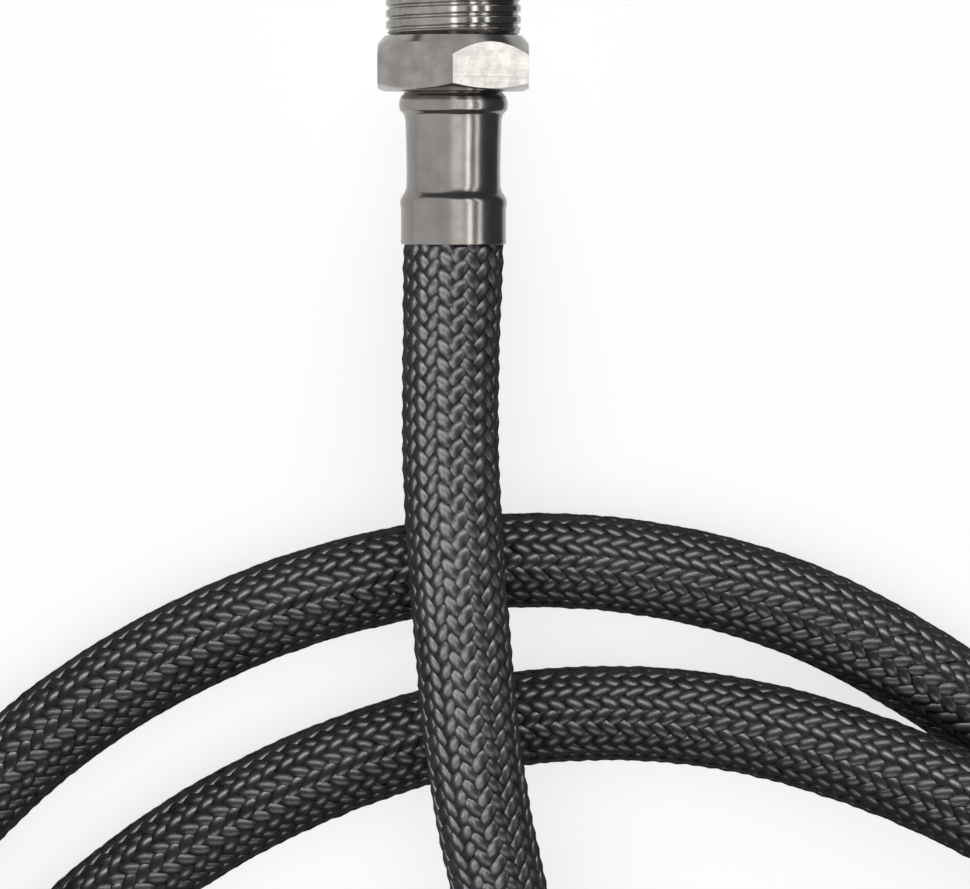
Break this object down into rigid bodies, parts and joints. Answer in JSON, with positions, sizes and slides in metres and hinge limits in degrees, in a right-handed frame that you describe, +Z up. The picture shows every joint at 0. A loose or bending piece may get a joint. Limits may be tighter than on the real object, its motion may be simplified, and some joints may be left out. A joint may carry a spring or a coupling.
{
  "type": "braided supply line",
  "caption": "Flexible water supply line, tube under a dark yarn braid, with a crimped male threaded end and a swivel nut end, wound in a flat coil.",
  "frame": {"origin": "centre of the coiled line's footprint, on the surface that it lies on", "axes": "+Z up; +Y from the coil towards the male threaded end; +X along the swivel nut's axis, out of its mouth"},
  "size_m": [0.2208, 0.2806, 0.0279],
  "materials": {
    "end_fitting": "turned and polished steel, semi-gloss",
    "ferrule": "drawn stainless sheet, satin",
    "inner_tube": "extruded, matt",
    "yarn_braid": "charcoal polymer yarn, braided",
    "tail_piece": "turned",
    "seal": "moulded, matt",
    "slip_ring": "stamped sheet, smooth",
    "swivel_nut": "turned, nickel plated, semi-gloss",
    "coil_tie": "hook-and-loop tape"
  },
  "bodies": {
    "line": {"male_fitting": "end_fitting", "male_ferrule": "ferrule", "inner_tube": "inner_tube", "yarn_braid": "yarn_braid", "far_ferrule": "ferrule", "tail_piece": "tail_piece", "cone_seal": "seal", "coil_tie": "coil_tie"},
    "slip_ring": {"slip_ring": "slip_ring"},
    "swivel_nut": {"swivel_nut": "swivel_nut"}
  },
  "joints": [
    {"name": "nut_slide", "type": "slide", "parent": "line", "child": "slip_ring", "axis": [-1, 0, 0], "range_m": [0, 0.0034]},
    {"name": "nut_spin", "type": "hinge", "parent": "slip_ring", "child": "swivel_nut", "pos_m": [0.078, -0.131, 0.0104], "axis": [1, 0, 0], "continuous": true}
  ]
}
